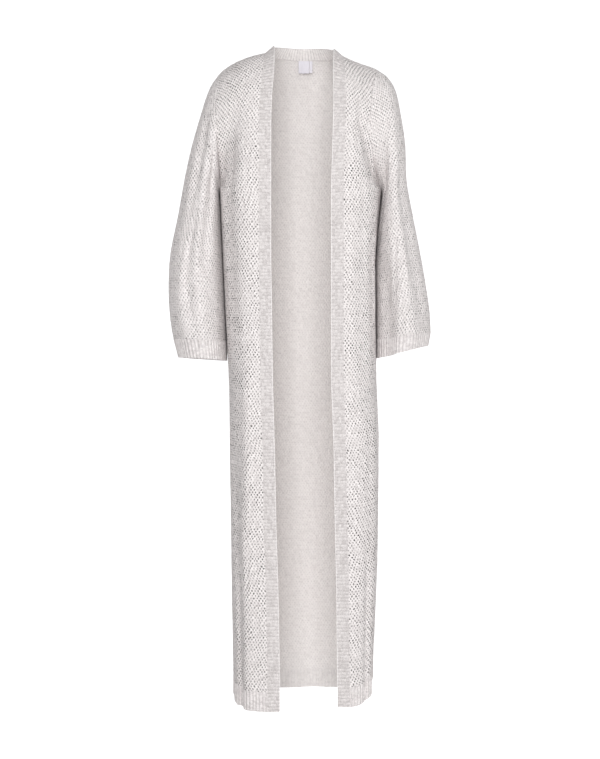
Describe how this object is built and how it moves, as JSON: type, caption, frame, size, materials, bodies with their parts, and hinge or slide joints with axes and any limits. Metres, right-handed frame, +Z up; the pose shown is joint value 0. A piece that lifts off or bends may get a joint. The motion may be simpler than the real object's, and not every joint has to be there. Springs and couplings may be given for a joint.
{
  "type": "long open-front knitted cardigan, worn",
  "caption": "Ankle-length open-front knitted cardigan with wide sleeves and ribbed bands, hollow as when worn.",
  "frame": {"origin": "between the shoulders at the top of the back neck, where the wearer's shoulders hold it up", "axes": "+X towards the wearer's left, +Y towards the wearer's back, +Z up"},
  "size_m": [0.5417, 0.2342, 1.3602],
  "materials": {
    "knit": "matte",
    "rib": "matte",
    "label": "satin"
  },
  "bodies": {
    "root": {"back": "knit", "right_front": "knit", "left_front": "knit", "right_sleeve": "knit", "left_sleeve": "knit", "right_front_band": "rib", "left_front_band": "rib", "neck_band": "rib", "right_cuff": "rib", "left_cuff": "rib", "right_front_hem": "rib", "left_front_hem": "rib", "back_hem": "rib", "neck_label": "label", "size_tab": "label"}
  },
  "joints": []
}
